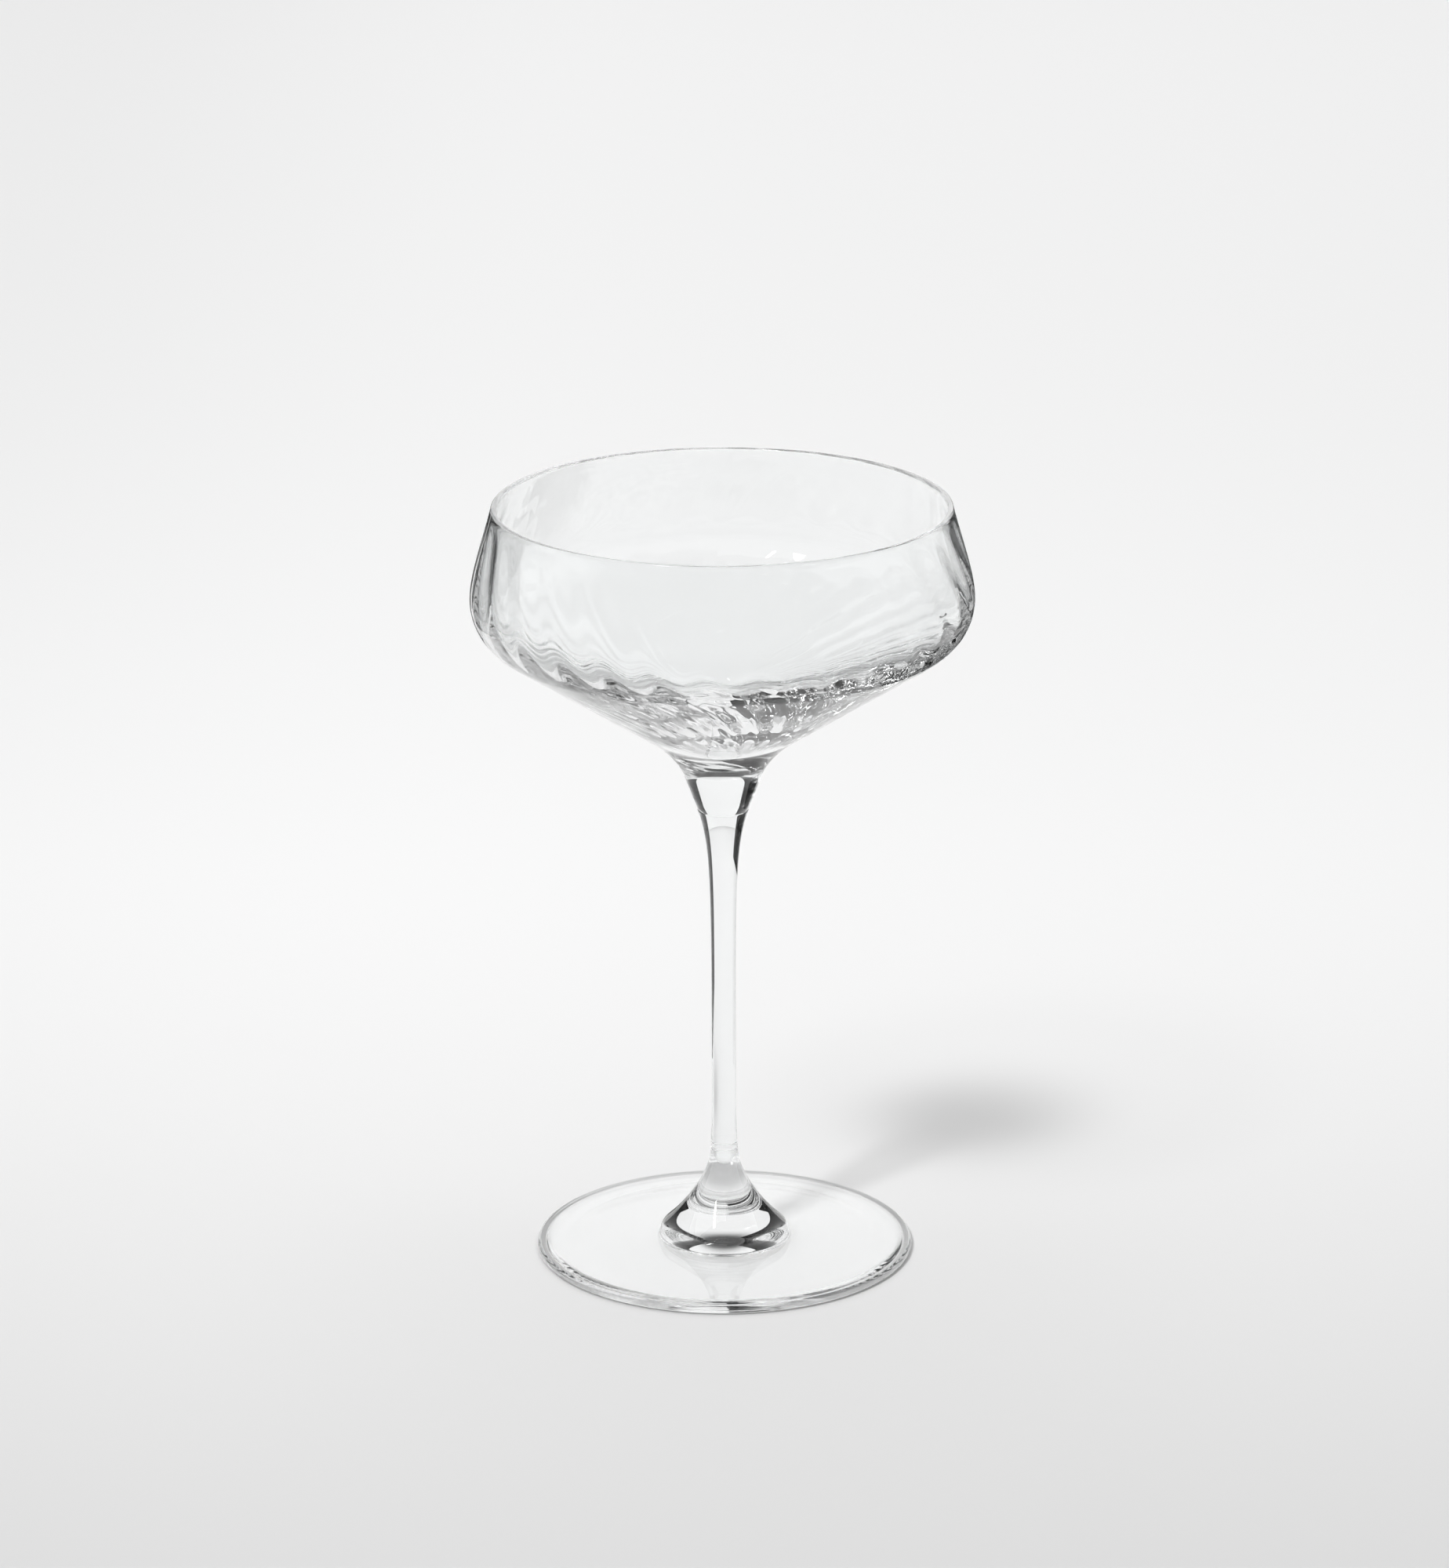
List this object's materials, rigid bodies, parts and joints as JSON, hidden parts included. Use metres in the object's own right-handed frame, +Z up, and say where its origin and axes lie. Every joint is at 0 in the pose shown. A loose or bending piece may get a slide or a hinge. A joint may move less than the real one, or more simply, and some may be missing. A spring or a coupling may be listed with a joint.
{
  "type": "cocktail glass",
  "caption": "Stemmed cocktail glass in clear glass: a wide bowl with fine spiral ribs inside, a slim drawn stem and a flat round foot with a conical boss.",
  "frame": {"origin": "centre of the ring that the foot stands on, at table height", "axes": "+Z up along the stem, from the foot to the rim; +X and +Y lie in the table"},
  "size_m": [0.1086, 0.1086, 0.17],
  "materials": {
    "clear_glass": "clear lead-free crystal, blown and fire polished"
  },
  "bodies": {
    "root": {"bowl": "clear_glass", "stem": "clear_glass", "foot": "clear_glass"}
  },
  "joints": []
}
